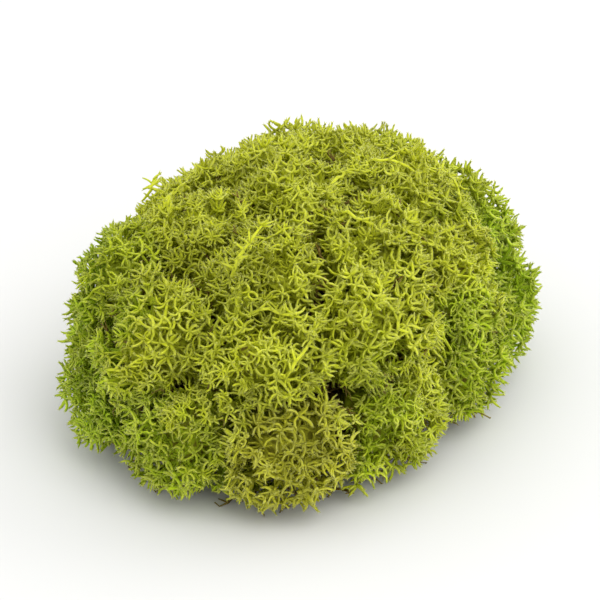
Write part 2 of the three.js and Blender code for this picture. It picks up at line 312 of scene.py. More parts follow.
def clawMesh(name, points, random):
    verts, faces = [], []
    for i in range(points):
        turn = 2 * math.pi * (i + random.uniform(-clawPlan["stray"], clawPlan["stray"])) / points
        lean = random.uniform(*clawPlan["lean"])
        along = Vector((math.cos(turn) * math.sin(lean), math.sin(turn) * math.sin(lean), math.cos(lean)))
        length = random.uniform(*clawPlan["lengths"])
        coneInto(verts, faces, along, clawPlan["width"], clawPlan["sunk"], length)
    mesh = bpy.data.meshes.new(name)
    mesh.from_pydata([v * clawPlan["length"] for v in verts], [], faces)
    isTip = [float(i % (coneSides + 1) == coneSides) for i in range(len(verts))]
    mesh.attributes.new("clawReach", "FLOAT", "POINT").data.foreach_set("value", isTip)
    return mesh


def makeClaws():
    random = np.random.default_rng(clawPlan["seed"])
    return shapeCollection("clawShapes", [
        clawMesh(f"claw{i}", points, random) for i, points in enumerate(clawPlan["points"])])


def makeSpurs():
    verts, faces = [], []
    coneInto(verts, faces, Vector((0, 0, 1)), spurPlan["width"], spurPlan["sunk"], 1.0)
    mesh = bpy.data.meshes.new("spur")
    mesh.from_pydata([v * spurPlan["length"] for v in verts], [], faces)
    return shapeCollection("spurShapes", [mesh])


clawShapes = makeClaws()
spurShapes = makeSpurs()


# Steps that both trees of Geometry Nodes share.
def facing(tree, vector):
    # the turn that brings +Z to a direction
    node = addNode(tree, "FunctionNodeAlignRotationToVector", {"Vector": vector}, axis="Z")
    return node.outputs["Rotation"]


def anyWay(tree, seed):
    node = addNode(tree, "FunctionNodeRandomValue", {
        0: (-1, -1, -1), 1: (1, 1, 1), "Seed": seed}, data_type="FLOAT_VECTOR")
    return socketOf(node.outputs, "VECTOR")


def shapesOf(tree, collection):
    node = addNode(tree, "GeometryNodeCollectionInfo", {
        "Collection": collection, "Separate Children": True, "Reset Children": True})
    return node.outputs["Instances"]


def pressedDown(tree, geometry, depth):
    # eases what lies lower than a small height up to the ground, so that nothing goes below it
    place = addNode(tree, "GeometryNodeInputPosition").outputs["Position"]
    at = addNode(tree, "ShaderNodeSeparateXYZ", {"Vector": place}).outputs
    over = maths(tree, "SUBTRACT", at["Z"], depth)
    below = maths(tree, "MINIMUM", over, 0.0)
    above = maths(tree, "MAXIMUM", over, 0.0)
    eased = maths(tree, "MULTIPLY", depth, maths(tree, "EXPONENT", maths(tree, "DIVIDE", below, depth)))
    raised = addNode(tree, "ShaderNodeCombineXYZ", {
        "X": at["X"], "Y": at["Y"], "Z": maths(tree, "ADD", eased, above)})
    moved = addNode(tree, "GeometryNodeSetPosition", {
        "Geometry": geometry, "Position": raised.outputs["Vector"]})
    return moved.outputs["Geometry"]


def finishTree(tree, parts, depth, material):
    # joins the parts, makes the instances real and gives them all their material
    joined = addNode(tree, "GeometryNodeJoinGeometry")
    for part in parts:
        tree.links.new(part, joined.inputs["Geometry"])
    real = addNode(tree, "GeometryNodeRealizeInstances", {"Geometry": joined.outputs["Geometry"]})
    pressed = pressedDown(tree, real.outputs["Geometry"], depth)
    smooth = addNode(tree, "GeometryNodeSetShadeSmooth", {"Geometry": pressed})
    finished = addNode(tree, "GeometryNodeSetMaterial", {
        "Geometry": smooth.outputs["Geometry"], "Material": material})
    addNode(tree, "NodeGroupOutput", {0: finished.outputs["Geometry"]})


twigTreePlan = {
    "wanderGain": 3.0,  # noise stays near its middle, and this brings it out to the wander
    "leastClaw": 0.01,  # tips smaller than this have no claw
    "spurSeed": 100.0,
}


def makeTwigTree():
    # turns a skeleton of edges into twigs, with a claw on each tip and spurs on some forks
    plan = twigTreePlan
    tree, given = makeTree("twigsOnSkeleton", "GeometryNodeTree", {
        "Skeleton": ("Geometry",), "Sides": ("Int", 3), "Wander": ("Float", 0.4 * mm),
        "Wander Size": ("Float", 4 * mm), "Spur Share": ("Float", 0.4), "Spur Age": ("Float", 0.4),
        "Press Depth": ("Float", 0.7 * mm), "Seed": ("Int", 1), "Claws": ("Collection",),
        "Spurs": ("Collection",), "Material": ("Material",)}, {"Twigs": ("Geometry",)})

    def named(name, kind="FLOAT"):
        node = addNode(tree, "GeometryNodeInputNamedAttribute", {"Name": name}, data_type=kind)
        return node.outputs["Attribute"]

    def over(value, limit):
        node = addNode(tree, "FunctionNodeCompare", {0: value, 1: limit}, operation="GREATER_THAN")
        return node.outputs["Result"]

    def combined(operation, first, second):
        node = addNode(tree, "FunctionNodeBooleanMath", {0: first, 1: second}, operation=operation)
        return node.outputs["Boolean"]

    # one noise moves every fork and bend, so that the twigs stay joined
    swirl = addNode(tree, "ShaderNodeTexNoise", {
        "Scale": maths(tree, "DIVIDE", 1.0, given["Wander Size"]), "Detail": 1.0})
    centred = vectorMaths(tree, "SUBTRACT", swirl.outputs["Color"], (0.5, 0.5, 0.5))
    reach = maths(tree, "MULTIPLY", given["Wander"], plan["wanderGain"])
    moved = addNode(tree, "GeometryNodeSetPosition", {
        "Geometry": given["Skeleton"], "Offset": scaled(tree, centred, reach)})
    parted = addNode(tree, "GeometryNodeSeparateGeometry", {
        "Geometry": moved.outputs["Geometry"], "Selection": named("isCore", "BOOLEAN")}, domain="POINT")
    core = parted.outputs["Selection"]
    bones = parted.outputs["Inverted"]
    curves = addNode(tree, "GeometryNodeMeshToCurve", {"Mesh": bones})
    profile = addNode(tree, "GeometryNodeCurvePrimitiveCircle", {
        "Resolution": given["Sides"], "Radius": 1.0})
    tubes = addNode(tree, "GeometryNodeCurveToMesh", {
        "Curve": curves.outputs["Curve"], "Profile Curve": profile.outputs["Curve"],
        "Scale": named("twigRadius"), "Fill Caps": True})

    isTip = over(named("tipSize"), plan["leastClaw"])
    aim = named("aim", "FLOAT_VECTOR")
    roll = addNode(tree, "FunctionNodeRandomValue", {"Seed": given["Seed"]}, data_type="FLOAT")
    turned = addNode(tree, "FunctionNodeAxisAngleToRotation", {
        "Axis": (0, 0, 1), "Angle": maths(tree, "MULTIPLY", socketOf(roll.outputs, "VALUE"), 2 * math.pi)})
    rolled = addNode(tree, "FunctionNodeRotateRotation", {
        "Rotation": facing(tree, aim), "Rotate By": turned.outputs["Rotation"]}, rotation_space="LOCAL")
    claws = addNode(tree, "GeometryNodeInstanceOnPoints", {
        "Points": bones, "Selection": isTip, "Instance": shapesOf(tree, given["Claws"]),
        "Pick Instance": True, "Rotation": rolled.outputs["Rotation"], "Scale": named("tipSize")})

    spurSeed = maths(tree, "ADD", given["Seed"], plan["spurSeed"])
    chance = addNode(tree, "FunctionNodeRandomValue", {
        "Probability": given["Spur Share"], "Seed": spurSeed}, data_type="BOOLEAN")
    isLiving = over(named("twigAge"), given["Spur Age"])
    hasSpur = combined("AND", socketOf(chance.outputs, "BOOLEAN"), isLiving)
    spurWay = vectorMaths(tree, "ADD", anyWay(tree, spurSeed), aim)
    spurs = addNode(tree, "GeometryNodeInstanceOnPoints", {
        "Points": bones, "Selection": combined("NIMPLY", hasSpur, isTip),
        "Instance": shapesOf(tree, given["Spurs"]), "Pick Instance": True,
        "Rotation": facing(tree, spurWay)})

    parts = (core, tubes.outputs["Mesh"], claws.outputs["Instances"], spurs.outputs["Instances"])
    finishTree(tree, parts, given["Press Depth"], given["Material"])
    return tree


twigTree = makeTwigTree()


def settled(piece, tree, values):
    # runs a node tree on a piece and keeps its result as a plain mesh
    modifier = piece.modifiers.new(tree.name, "NODES")
    modifier.node_group = tree
    for item in tree.interface.items_tree:
        if item.in_out == "INPUT" and item.name in values:
            modifier[item.identifier] = values[item.name]
    depsgraph = bpy.context.evaluated_depsgraph_get()
    mesh = bpy.data.meshes.new_from_object(
        piece.evaluated_get(depsgraph), preserve_all_data_layers=True, depsgraph=depsgraph)
    piece.modifiers.clear()
    bare = piece.data
    piece.data = mesh
    mesh.name = piece.name
    bpy.data.meshes.remove(bare)
    return piece


class Skeleton:
    # points joined by edges, with what the twigs need at each point
    def __init__(self):
        self.points = self.aims = np.zeros((0, 3))
        self.parents = np.zeros(0, int)
        self.radii = self.ages = self.tipSizes = np.zeros(0)

    def add(self, points, parents, radius, age, aims, tipSize=0.0):
        first, count = len(self.points), len(points)
        self.points = np.concatenate([self.points, points])
        self.parents = np.concatenate([self.parents, np.broadcast_to(parents, count)]).astype(int)
        self.aims = np.concatenate([self.aims, np.broadcast_to(aims, (count, 3))])
        self.radii = np.concatenate([self.radii, np.broadcast_to(radius, count)])
        self.ages = np.concatenate([self.ages, np.broadcast_to(age, count)])
        self.tipSizes = np.concatenate([self.tipSizes, np.broadcast_to(tipSize, count)])
        return np.arange(first, first + count)

    def addBent(self, points, parents, radius, age, aims, bend, random):
        # a point half way, pushed aside, and then the points themselves
        start = self.points[parents]
        length = np.linalg.norm(points - start, axis=1, keepdims=True)
        middles = (start + points) / 2 + bend * length * unit(random.normal(size=points.shape))
        middleRadius = (self.radii[parents] + radius) / 2
        middleAge = (self.ages[parents] + age) / 2
        middles = self.add(middles, parents, middleRadius, middleAge, aims)
        return self.add(points, middles, radius, age, aims)

    def graft(self, other, turn, size, place):
        # another skeleton, turned, scaled and moved
        matrix = np.array(turn.to_matrix())
        first = len(self.points)
        points = place + size * other.points @ matrix.T
        aims = other.aims @ matrix.T
        grown = self.add(points, -1, other.radii * size, other.ages, aims, other.tipSizes)
        self.parents[grown] = np.where(other.parents >= 0, other.parents + first, -1)

    def toObject(self, name, lowest=0.0, core=None):
        # the core's faces lie in the same mesh as the edges, marked for the tree
        corePoints, coreFaces, coreAges = core or (np.zeros((0, 3)), [], np.zeros(0))
        count = len(self.points)
        points = np.concatenate([self.points, corePoints])
        points[:, 2] = np.maximum(points[:, 2], lowest)
        joined = np.flatnonzero(self.parents >= 0)
        edges = np.stack([self.parents[joined], joined], axis=1)
        faces = [[count + i for i in face] for face in coreFaces]
        mesh = bpy.data.meshes.new(name)
        mesh.from_pydata(points.tolist(), edges.tolist(), faces)

        def keep(key, kind, field, own, cores):
            values = np.concatenate([own, cores]).astype(np.float32).ravel()
            mesh.attributes.new(key, kind, "POINT").data.foreach_set(field, values)

        none = np.zeros(len(corePoints))
        keep("twigRadius", "FLOAT", "value", self.radii, none)
        keep("twigAge", "FLOAT", "value", self.ages, coreAges)
        keep("tipSize", "FLOAT", "value", self.tipSizes, none)
        keep("aim", "FLOAT_VECTOR", "vector", self.aims, np.zeros((len(corePoints), 3)))
        isCore = mesh.attributes.new("isCore", "BOOLEAN", "POINT")
        isCore.data.foreach_set("value", np.arange(len(points)) >= count)
        return addObject(name, mesh)


# A head fills the space of its solid. It is laid out from its surface inwards: stars stand on the
# surface at an even spacing, and each inner layer of forks is thinned from the one outside it.
headPlan = {
    "candidates": 1600,
    "starSpacing": 2.65 * mm,
    "spacingSpread": 0.44,       # stars stand closer and grow smaller in some patches
    "patchSize": 16 * mm,
    "hiddenBelow": 6 * mm,       # stars deeper inside the clump than this stand further apart
    "hiddenSpread": 0.16,        # growth of their spacing for each mm of depth
    "starDepth": 1.1 * mm,       # the arms of a star reach about this much higher than its middle
    "surfaceDip": 0.21,          # dips between the small lobes of a head, as a share of the reach
    "lobeSize": 9 * mm,
    "lobeLevel": 0.5,            # noise at which a lobe has no dip
    "dipSpread": (0.4, 1.0),     # some twigs dip less than others
    "pocketDip": 0.34,           # a few deep pockets, as a share of the reach
    "pocketSize": 6.5 * mm,
    "pocketEdge": (0.27, 0.40),  # noise at a pocket's rim and at its floor
    "pocketFade": 10 * mm,       # no pockets deeper than this in the grooves
    "pocketSeed": 31,
    "seamFill": 0.45,            # share of the groove between two heads that their twigs fill
    "seamDepth": 12 * mm,        # deeper than this the filling fades out
    "leastReach": 4 * mm,
    "layers": [                  # share of the reach, spacing and twig radius, from the stars inwards
        (0.84, 3.5 * mm, 0.40 * mm),
        (0.66, 4.9 * mm, 0.50 * mm),
        (0.38, 9.5 * mm, 0.75 * mm),
    ],
    "scatter": 0.14,             # how far forks stray, as a share of their spacing
    "starRadius": 0.36 * mm,
    "rootRadius": 1.0 * mm, "rootDepth": 7 * mm,
    "rootShare": 0.35,           # how far roots spread, as a share of the innermost forks' reach
    "surfaceAge": 0.9,           # age of a twig at full reach, from 0 at its root
    "pull": 0.18,                # how far twigs of one stem draw together
    "bend": 0.12,
    "innerScales": (1.0, 1.15),  # size of the plain stars on the forks of the two layers below
    "matLevel": 0.2,             # height that the heads grow from, as a share of the clump's
    "footShare": 0.72,           # where twigs fan out from, between the middle and the inner face
    "wander": 0.55 * mm, "wanderSize": 5 * mm,
    "spurShare": 0.42,
    "lowest": 0.7 * mm, "seed": 500, "seedStep": 7,
}
starPlan = {
    "arms": (4, 7), "stagger": 0.25, "length": (1.9 * mm, 3.4 * mm),
    "lean": (0.90, 1.45),  # radians from the star's axis
    "sweep": (0.2, 0.75),  # how far an arm curves aside at each bend
    "girth": (0.85, 1.2),  # some stars are slimmer than others
    "ageStep": 0.03, "clawSize": (0.5, 0.85),
    # each piece of an arm: its share of the length, how far it turns up, and its radius
    "clawed": [(0.36, -0.15, 0.33 * mm), (0.34, 0.10, 0.30 * mm), (0.30, 0.42, 0.25 * mm)],
    "plain": [(0.5, -0.10, 0.33 * mm), (0.5, 0.40, 0.25 * mm)],
}
corePlan = {
    "detail": 3,
    "share": 0.50,        # size in the head, where it lies near the clump's surface
    "hiddenShare": 0.94,  # size where it lies deep inside
    "hiddenFrom": 6 * mm, "hiddenBy": 14 * mm,
    "rough": 0.22, "roughSize": 3.5 * mm,
    "hiddenCalm": 0.8,    # how much smoother it is where it is hidden
    "age": (0.05, 0.40), "starSpacing": 2.8 * mm, "starAge": 0.42,
    "starBelow": 0.8,     # no stars where it is more hidden than this
}
runnerPlan = {
    "counts": (2, 5),
    "within": 6 * mm,  # they start no deeper inside the clump than this
    "steps": 7, "stepLength": 2.3 * mm, "stepSpread": (0.8, 1.2),
    "turn": 0.42,      # radians
    "lift": 0.9 * mm, "liftSpread": (0.97, 1.03),
    "radius": (0.50 * mm, 0.27 * mm),
    "age": 0.86, "aimOut": 0.4, "starSize": 0.9,
    "sideShare": 0.8,  # bends that have a side twig
    "sideLength": (1.6 * mm, 3.4 * mm),
    "sideAhead": 0.7, "sideStray": 0.35, "sideGirth": 0.75, "sideAge": 0.08,
}
creasePlan = {
    "depth": (8 * mm, 14 * mm),  # where dead stalks show in the creases between heads
    "spacing": 4.5 * mm, "size": (0.7, 1.05), "stray": 0.45, "seed": 29,
}


def hullOf(points):
    # the convex hull of some points: the planes of its faces, and its middle
    shape = bmesh.new()
    for point in points:
        shape.verts.new(point)
    bmesh.ops.convex_hull(shape, input=shape.verts)
    shape.normal_update()
    middles = np.array([face.calc_center_median() for face in shape.faces])
    normals = np.array([face.normal for face in shape.faces])
    areas = np.array([face.calc_area() for face in shape.faces])
    shape.free()
    centre = (middles * areas[:, None]).sum(0) / areas.sum()
    normals *= np.sign(((middles - centre) * normals).sum(1, keepdims=True))
    return {"centre": centre, "normals": normals, "offsets": (middles * normals).sum(1)}


def gapsIn(hull, points):
    # how far points lie behind each face of a hull
    return hull["offsets"] - points @ hull["normals"].T


def exitPoints(hull, directions):
    # where rays from the middle of a hull leave it
    rates = directions @ hull["normals"].T
    gaps = gapsIn(hull, hull["centre"])
    reach = np.where(rates > 1e-6, gaps / np.maximum(rates, 1e-6), np.inf).min(axis=1)
    return hull["centre"] + reach[:, None] * directions


def ballDirections(count):
    # an even spiral of directions
    step = np.arange(count)
    z = 1 - (2 * step + 1) / count
    r = np.sqrt(1 - z * z)
    turn = step * math.pi * (3 - math.sqrt(5))
    return np.stack([r * np.cos(turn), r * np.sin(turn), z], axis=1)


def noiseAt(points, size, seed=0):
    return np.array([noise.noise(Vector(point / size + seed)) for point in points])


def thinned(points, spacings, random):
    # takes points in random order and keeps those that stand clear of the ones kept before
    kept = []
    for i in random.permutation(len(points)):
        if kept and np.min(np.sum((points[kept] - points[i]) ** 2, axis=1)) < spacings[i] ** 2:
            continue
        kept.append(i)
    return points[kept]


def nearest(points, others):
    return np.argmin(((points[:, None, :] - others[None, :, :]) ** 2).sum(2), axis=1)


def growStars(skeleton, hosts, scale, random, kind="clawed"):
    # arms round the end of a twig: each leans out, turns up, curves aside and may end in a claw
    plan = starPlan
    axes = skeleton.aims[hosts]
    side = unit(np.cross(axes, random.normal(size=axes.shape)))
    across = np.cross(axes, side)
    scales = np.broadcast_to(scale, len(hosts))
    girths = scales * random.uniform(*plan["girth"], len(hosts))
    counts = random.integers(*plan["arms"], len(hosts))
    for arm in range(counts.max(initial=0)):
        has = counts > arm
        own = hosts[has]
        stagger = random.uniform(-plan["stagger"], plan["stagger"], len(own))
        turn = 2 * math.pi * (arm + stagger) / counts[has]
        sweep = random.uniform(*plan["sweep"], len(own)) * random.choice([-1, 1], len(own))
        lean = random.uniform(*plan["lean"], len(own))
        length = random.uniform(*plan["length"], len(own)) * scales[has]
        last = own
        for number, (share, rise, radius) in enumerate(plan[kind]):
            around = (turn + sweep * number)[:, None]
            out = np.cos(around) * side[has] + np.sin(around) * across[has]
            tilt = (lean - rise)[:, None]
            way = np.cos(tilt) * axes[has] + np.sin(tilt) * out
            points = skeleton.points[last] + (share * length)[:, None] * way
            hasClaw = kind == "clawed" and number == len(plan[kind]) - 1
            size = random.uniform(*plan["clawSize"], len(own)) * scales[has] if hasClaw else 0.0
            age = np.minimum(skeleton.ages[last] + plan["ageStep"], 1.0)
            last = skeleton.add(points, last, radius * girths[has], age, way, size)


def growRunners(skeleton, hosts, foot, random):
    # long bare twigs that lie over the stars, with side twigs and a star at their end
    plan = runnerPlan
    thick, thin = plan["radius"]
    for host in hosts:
        place = skeleton.points[host] - foot
        reach = np.linalg.norm(place) + plan["lift"]
        radial = place / np.linalg.norm(place)
        way = unit(np.cross(radial, random.normal(size=3)))
        last = np.array([host])
        for step in range(plan["steps"]):
            turn = random.uniform(-plan["turn"], plan["turn"])
            way = unit(math.cos(turn) * way + math.sin(turn) * np.cross(radial, way))
            place = place + way * plan["stepLength"] * random.uniform(*plan["stepSpread"])
            place = place * reach * random.uniform(*plan["liftSpread"]) / np.linalg.norm(place)
            radial = place / np.linalg.norm(place)
            way = unit(way - (way @ radial) * radial)
            radius = thick + (thin - thick) * ((step + 1) / plan["steps"])
            aim = unit(way + plan["aimOut"] * radial)
            last = skeleton.add((foot + place)[None], last, radius, plan["age"], aim)
            if random.random() < plan["sideShare"]:
                aside = plan["sideAhead"] * way + np.cross(radial, way) * random.choice([-1, 1])
                aside = unit(aside + plan["sideStray"] * random.normal(size=3))
                end = foot + place + aside * random.uniform(*plan["sideLength"])
                sideAge = plan["age"] + plan["sideAge"]
                skeleton.add(end[None], last, plan["sideGirth"] * radius, sideAge, aside, 1.0)
        growStars(skeleton, last, plan["starSize"], random)


def coreOf(hull, clumpHull, seed):
    # the shaded inside of a head, too dense to see through: a rough body in place of its old twigs.
    # Inside the clump it fills the head, so that no light comes up between two heads.
    plan = corePlan
    shape = bmesh.new()
    bmesh.ops.create_icosphere(shape, subdivisions=plan["detail"], radius=1.0)
    directions = unit(np.array([vert.co for vert in shape.verts]))
    faces = [[vert.index for vert in face.verts] for face in shape.faces]
    shape.free()
    surface = exitPoints(hull, directions)
    depth = gapsIn(clumpHull, surface).min(axis=1)
    hidden = np.clip((depth - plan["hiddenFrom"]) / (plan["hiddenBy"] - plan["hiddenFrom"]), 0, 1)
    share = plan["share"] + (plan["hiddenShare"] - plan["share"]) * hidden
    rough = noiseAt(surface, plan["roughSize"], seed) * (1 - plan["hiddenCalm"] * hidden)
    points = hull["centre"] + (surface - hull["centre"]) * (share * (1 + plan["rough"] * rough))[:, None]
    low, high = plan["age"]
    ages = np.clip(low + (high - low) * (0.5 + rough), low, high)
    return (points, faces, ages), points[hidden < plan["starBelow"]]


def starSpread(points):
    return 1 + headPlan["spacingSpread"] * noiseAt(points, headPlan["patchSize"])


def starPlaces(hull, clumpHull, foot, seed, random):
    # where the stars of a head stand, and where its creases lie, with the way out of them
    plan = headPlan
    ends = exitPoints(hull, ballDirections(plan["candidates"]))
    hidden = np.maximum(gapsIn(clumpHull, ends).min(axis=1) - plan["hiddenBelow"], 0) / mm
    spacings = plan["starSpacing"] * starSpread(ends) * (1 + plan["hiddenSpread"] * hidden)
    ends = thinned(ends, spacings, random)

    # the grooves between heads are partly filled, then small lobes and a few pockets are sunk in
    gaps = gapsIn(clumpHull, ends)
    outward = clumpHull["normals"][gaps.argmin(axis=1)]
    depth = gaps.min(axis=1)
    least, most = creasePlan["depth"]
    creased = (depth > least) & (depth < most)
    creases = list(zip(ends[creased], outward[creased]))
    fill = plan["seamFill"] * depth * np.clip(2 - depth / plan["seamDepth"], 0, 1)
    ends = ends + fill[:, None] * outward
    lobes = noiseAt(ends, plan["lobeSize"], seed)
    rim, floor = plan["pocketEdge"]
    pockets = np.clip((noiseAt(ends, plan["pocketSize"], plan["pocketSeed"]) - rim) / (floor - rim), 0, 1)
    pockets = pockets * np.clip(1 - depth / plan["pocketFade"], 0, 1)
    dip = plan["surfaceDip"] * np.clip(plan["lobeLevel"] - lobes, 0, 1)
    dip = dip * random.uniform(*plan["dipSpread"], len(ends)) + plan["pocketDip"] * pockets
    reach = np.maximum(np.linalg.norm(ends - foot, axis=1), plan["leastReach"])
    ends = foot + (ends - foot) * ((1 - dip) * (1 - plan["starDepth"] / reach))[:, None]
    return ends, creases


def forkLayers(ends, foot, random):
    # layers of forks from the innermost out to the stars: their points, share of the reach and radius
    plan = headPlan
    layers = [(ends, 1.0, plan["starRadius"])]
    for share, spacing, radius in plan["layers"]:
        outer, outerShare, _ = layers[-1]
        points = foot + (outer - foot) * (share / outerShare)
        points = points + random.normal(0, plan["scatter"] * spacing, points.shape)
        layers.append((thinned(points, np.full(len(points), spacing), random), share, radius))
    layers.reverse()
    return layers


def growHead(hull, clumpHull, matMiddle, seed):
    random = np.random.default_rng(seed)
    plan = headPlan
    inward = unit(matMiddle - hull["centre"])
    foot = hull["centre"] + plan["footShare"] * (exitPoints(hull, inward[None])[0] - hull["centre"])
    ends, creases = starPlaces(hull, clumpHull, foot, seed, random)
    layers = forkLayers(ends, foot, random)

    skeleton = Skeleton()
    roots = foot + plan["rootShare"] * (layers[0][0] - foot) + inward * plan["rootDepth"]
    grown = [skeleton.add(roots, -1, plan["rootRadius"], 0.0, -inward)]
    for number, (points, share, radius) in enumerate(layers):
        inner = skeleton.points[grown[-1]]
        own = np.arange(len(points)) if number == 0 else nearest(points, inner)
        if number > 1:
            radial = unit(inner[own] - foot)
            along = ((points - foot) * radial).sum(1, keepdims=True)
            points = points + plan["pull"] * (foot + along * radial - points)
        aims = unit(unit(points - inner[own]) + unit(points - foot))
        age = plan["surfaceAge"] * share
        grown.append(skeleton.addBent(points, grown[-1][own], radius, age, aims, plan["bend"], random))
    outermost = grown[-1]
    growStars(skeleton, outermost, starSpread(skeleton.points[outermost]), random)
    for forks, scale in zip((grown[-2], grown[-3]), plan["innerScales"]):
        growStars(skeleton, forks, scale, random, "plain")
    shown = outermost[gapsIn(clumpHull, skeleton.points[outermost]).min(axis=1) < runnerPlan["within"]]
    count = min(random.integers(*runnerPlan["counts"]), len(shown))
    growRunners(skeleton, random.choice(shown, count, replace=False), foot, random)

    # plain stars cover the part of the core that shows between the twigs
    core, places = coreOf(hull, clumpHull, seed)
    places = thinned(places, np.full(len(places), corePlan["starSpacing"]), random)
    on = skeleton.add(places, -1, plan["starRadius"], corePlan["starAge"], unit(places - foot))
    growStars(skeleton, on, 1.0, random, "plain")
    return skeleton, core, creases


def twigValues(slot, seed):
    # what the twig tree takes for a piece in one of the four colours
    return {
        "Wander": headPlan["wander"], "Wander Size": headPlan["wanderSize"],
        "Spur Share": headPlan["spurShare"], "Seed": seed, "Claws": clawShapes, "Spurs": spurShapes,
        "Material": materials[slotMaterials[slot]],
    }


def buildHeads():
    names = sorted(name for name in frame["nodes"] if name.startswith("head_"))
    solids = {name: frame["nodes"][name].data for name in names}
    outlines = {name: np.array([vert.co for vert in solid.vertices]) for name, solid in solids.items()}
    clumpHull = hullOf(np.concatenate(list(outlines.values())))
    matMiddle = np.array([0, 0, headPlan["matLevel"] * cadSize.z])
    total = 0
    allCreases = []
    for number, name in enumerate(names):
        seed = headPlan["seed"] + headPlan["seedStep"] * number
        skeleton, core, creases = growHead(hullOf(outlines[name]), clumpHull, matMiddle, seed)
        bare = skeleton.toObject(name.replace("head", "twigs"), headPlan["lowest"], core)
        piece = settled(bare, twigTree, twigValues(slotOfNode[name], number))
        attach(piece, "root")
        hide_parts(name)
        total += triangleCount(piece.data)
        allCreases += creases
    print("heads grown:", len(names), "with", total, "triangles")
    return allCreases


# The dead mat: a lumpy mound on a low pad, overgrown with dead sprigs. More sprigs lie round its foot.
matPlan = {
    "moundShare": (0.66, 0.60, 0.62),  # of the clump's length, width and height
    "padShare": (0.57, 0.55, 0.12),
    "detail": 5,
    "lump": (1.3 * mm, 7 * mm),        # height and size of its lumps
    "fibre": (0.5 * mm, 2 * mm),
    "belly": 0.05,                     # how far it rounds under, as a share of its height
    "moundFoot": 3 * mm,               # its lowest point
    "padFoot": 0.7 * mm,               # the sprigs under the pad are pressed into the height below it
    "sprigSpacing": 1.9 * mm,
    "upperShare": 0.25,                # fewer sprigs on top, where the heads hide them
    "sprigSize": (0.8, 1.5),
    "sprigLean": 0.55,                 # how far sprigs follow its normal
    "sizeSeed": 7.0, "seed": 11,
}
skirtPlan = {
    "rings": [  # sprigs, and how far out they start, as a share of the outline
        {"count": 40, "at": 0.48},
        {"count": 50, "at": 0.58},
        {"count": 54, "at": 0.67},
        {"count": 56, "at": 0.74},
    ],
    "size": (0.8, 1.4),
    "stagger": 0.4,  # as a share of the space between two sprigs
    "stray": 0.45,   # radians
    "lift": (-0.15, 0.45),
    "height": 1.6 * mm, "seed": 23,
}
sprigPlan = {
    "kinds": 7, "length": 5.5 * mm, "steps": 3, "stepSpread": (0.8, 1.2), "curl": 0.5,
    "curlUp": 0.4,                # less of it along the stalk
    "radius": (0.42 * mm, 0.2 * mm),
    "age": 0.2, "ageGain": 0.6,   # at the foot, and how much is added by the end
    "sideCount": (1, 3), "sideLength": 0.4, "sideSpread": (0.6, 1.1),
    "sideAhead": 0.7, "sideGirth": 0.7, "sideAge": 0.3, "seed": 5,
}


def growSprig(random):
    # a dead stalk that curls up from the origin, with side twigs at each bend
    plan = sprigPlan
    thick, thin = plan["radius"]
    skeleton = Skeleton()
    way = np.array([0.0, 0.0, 1.0])
    last = skeleton.add(np.zeros((1, 3)), -1, thick, plan["age"], way)
    for step in range(plan["steps"]):
        way = unit(way + plan["curl"] * random.normal(size=3) * (1, 1, plan["curlUp"]))
        share = (step + 1) / plan["steps"]
        radius = thick + (thin - thick) * share
        length = plan["length"] / plan["steps"] * random.uniform(*plan["stepSpread"])
        point = skeleton.points[last] + way * length
        last = skeleton.add(point, last, radius, plan["age"] + plan["ageGain"] * share, way)
        for _ in range(random.integers(*plan["sideCount"])):
            aside = unit(way * plan["sideAhead"] + unit(random.normal(size=3)))
            end = point + aside * plan["sideLength"] * plan["length"] * random.uniform(*plan["sideSpread"])
            sideAge = plan["sideAge"] + plan["ageGain"] * share
            skeleton.add(end, last, thin * plan["sideGirth"], sideAge, aside)
    return skeleton


def makeSprigs():
    random = np.random.default_rng(sprigPlan["seed"])
    straight = {**twigValues("dead_stalk", sprigPlan["seed"]), "Wander": 0.0, "Spur Share": 0.0}
    meshes = []
    for kind in range(sprigPlan["kinds"]):
        piece = settled(growSprig(random).toObject(f"sprig{kind}"), twigTree, straight)
        meshes.append(piece.data)
        bpy.data.objects.remove(piece)
    return shapeCollection("sprigShapes", meshes)


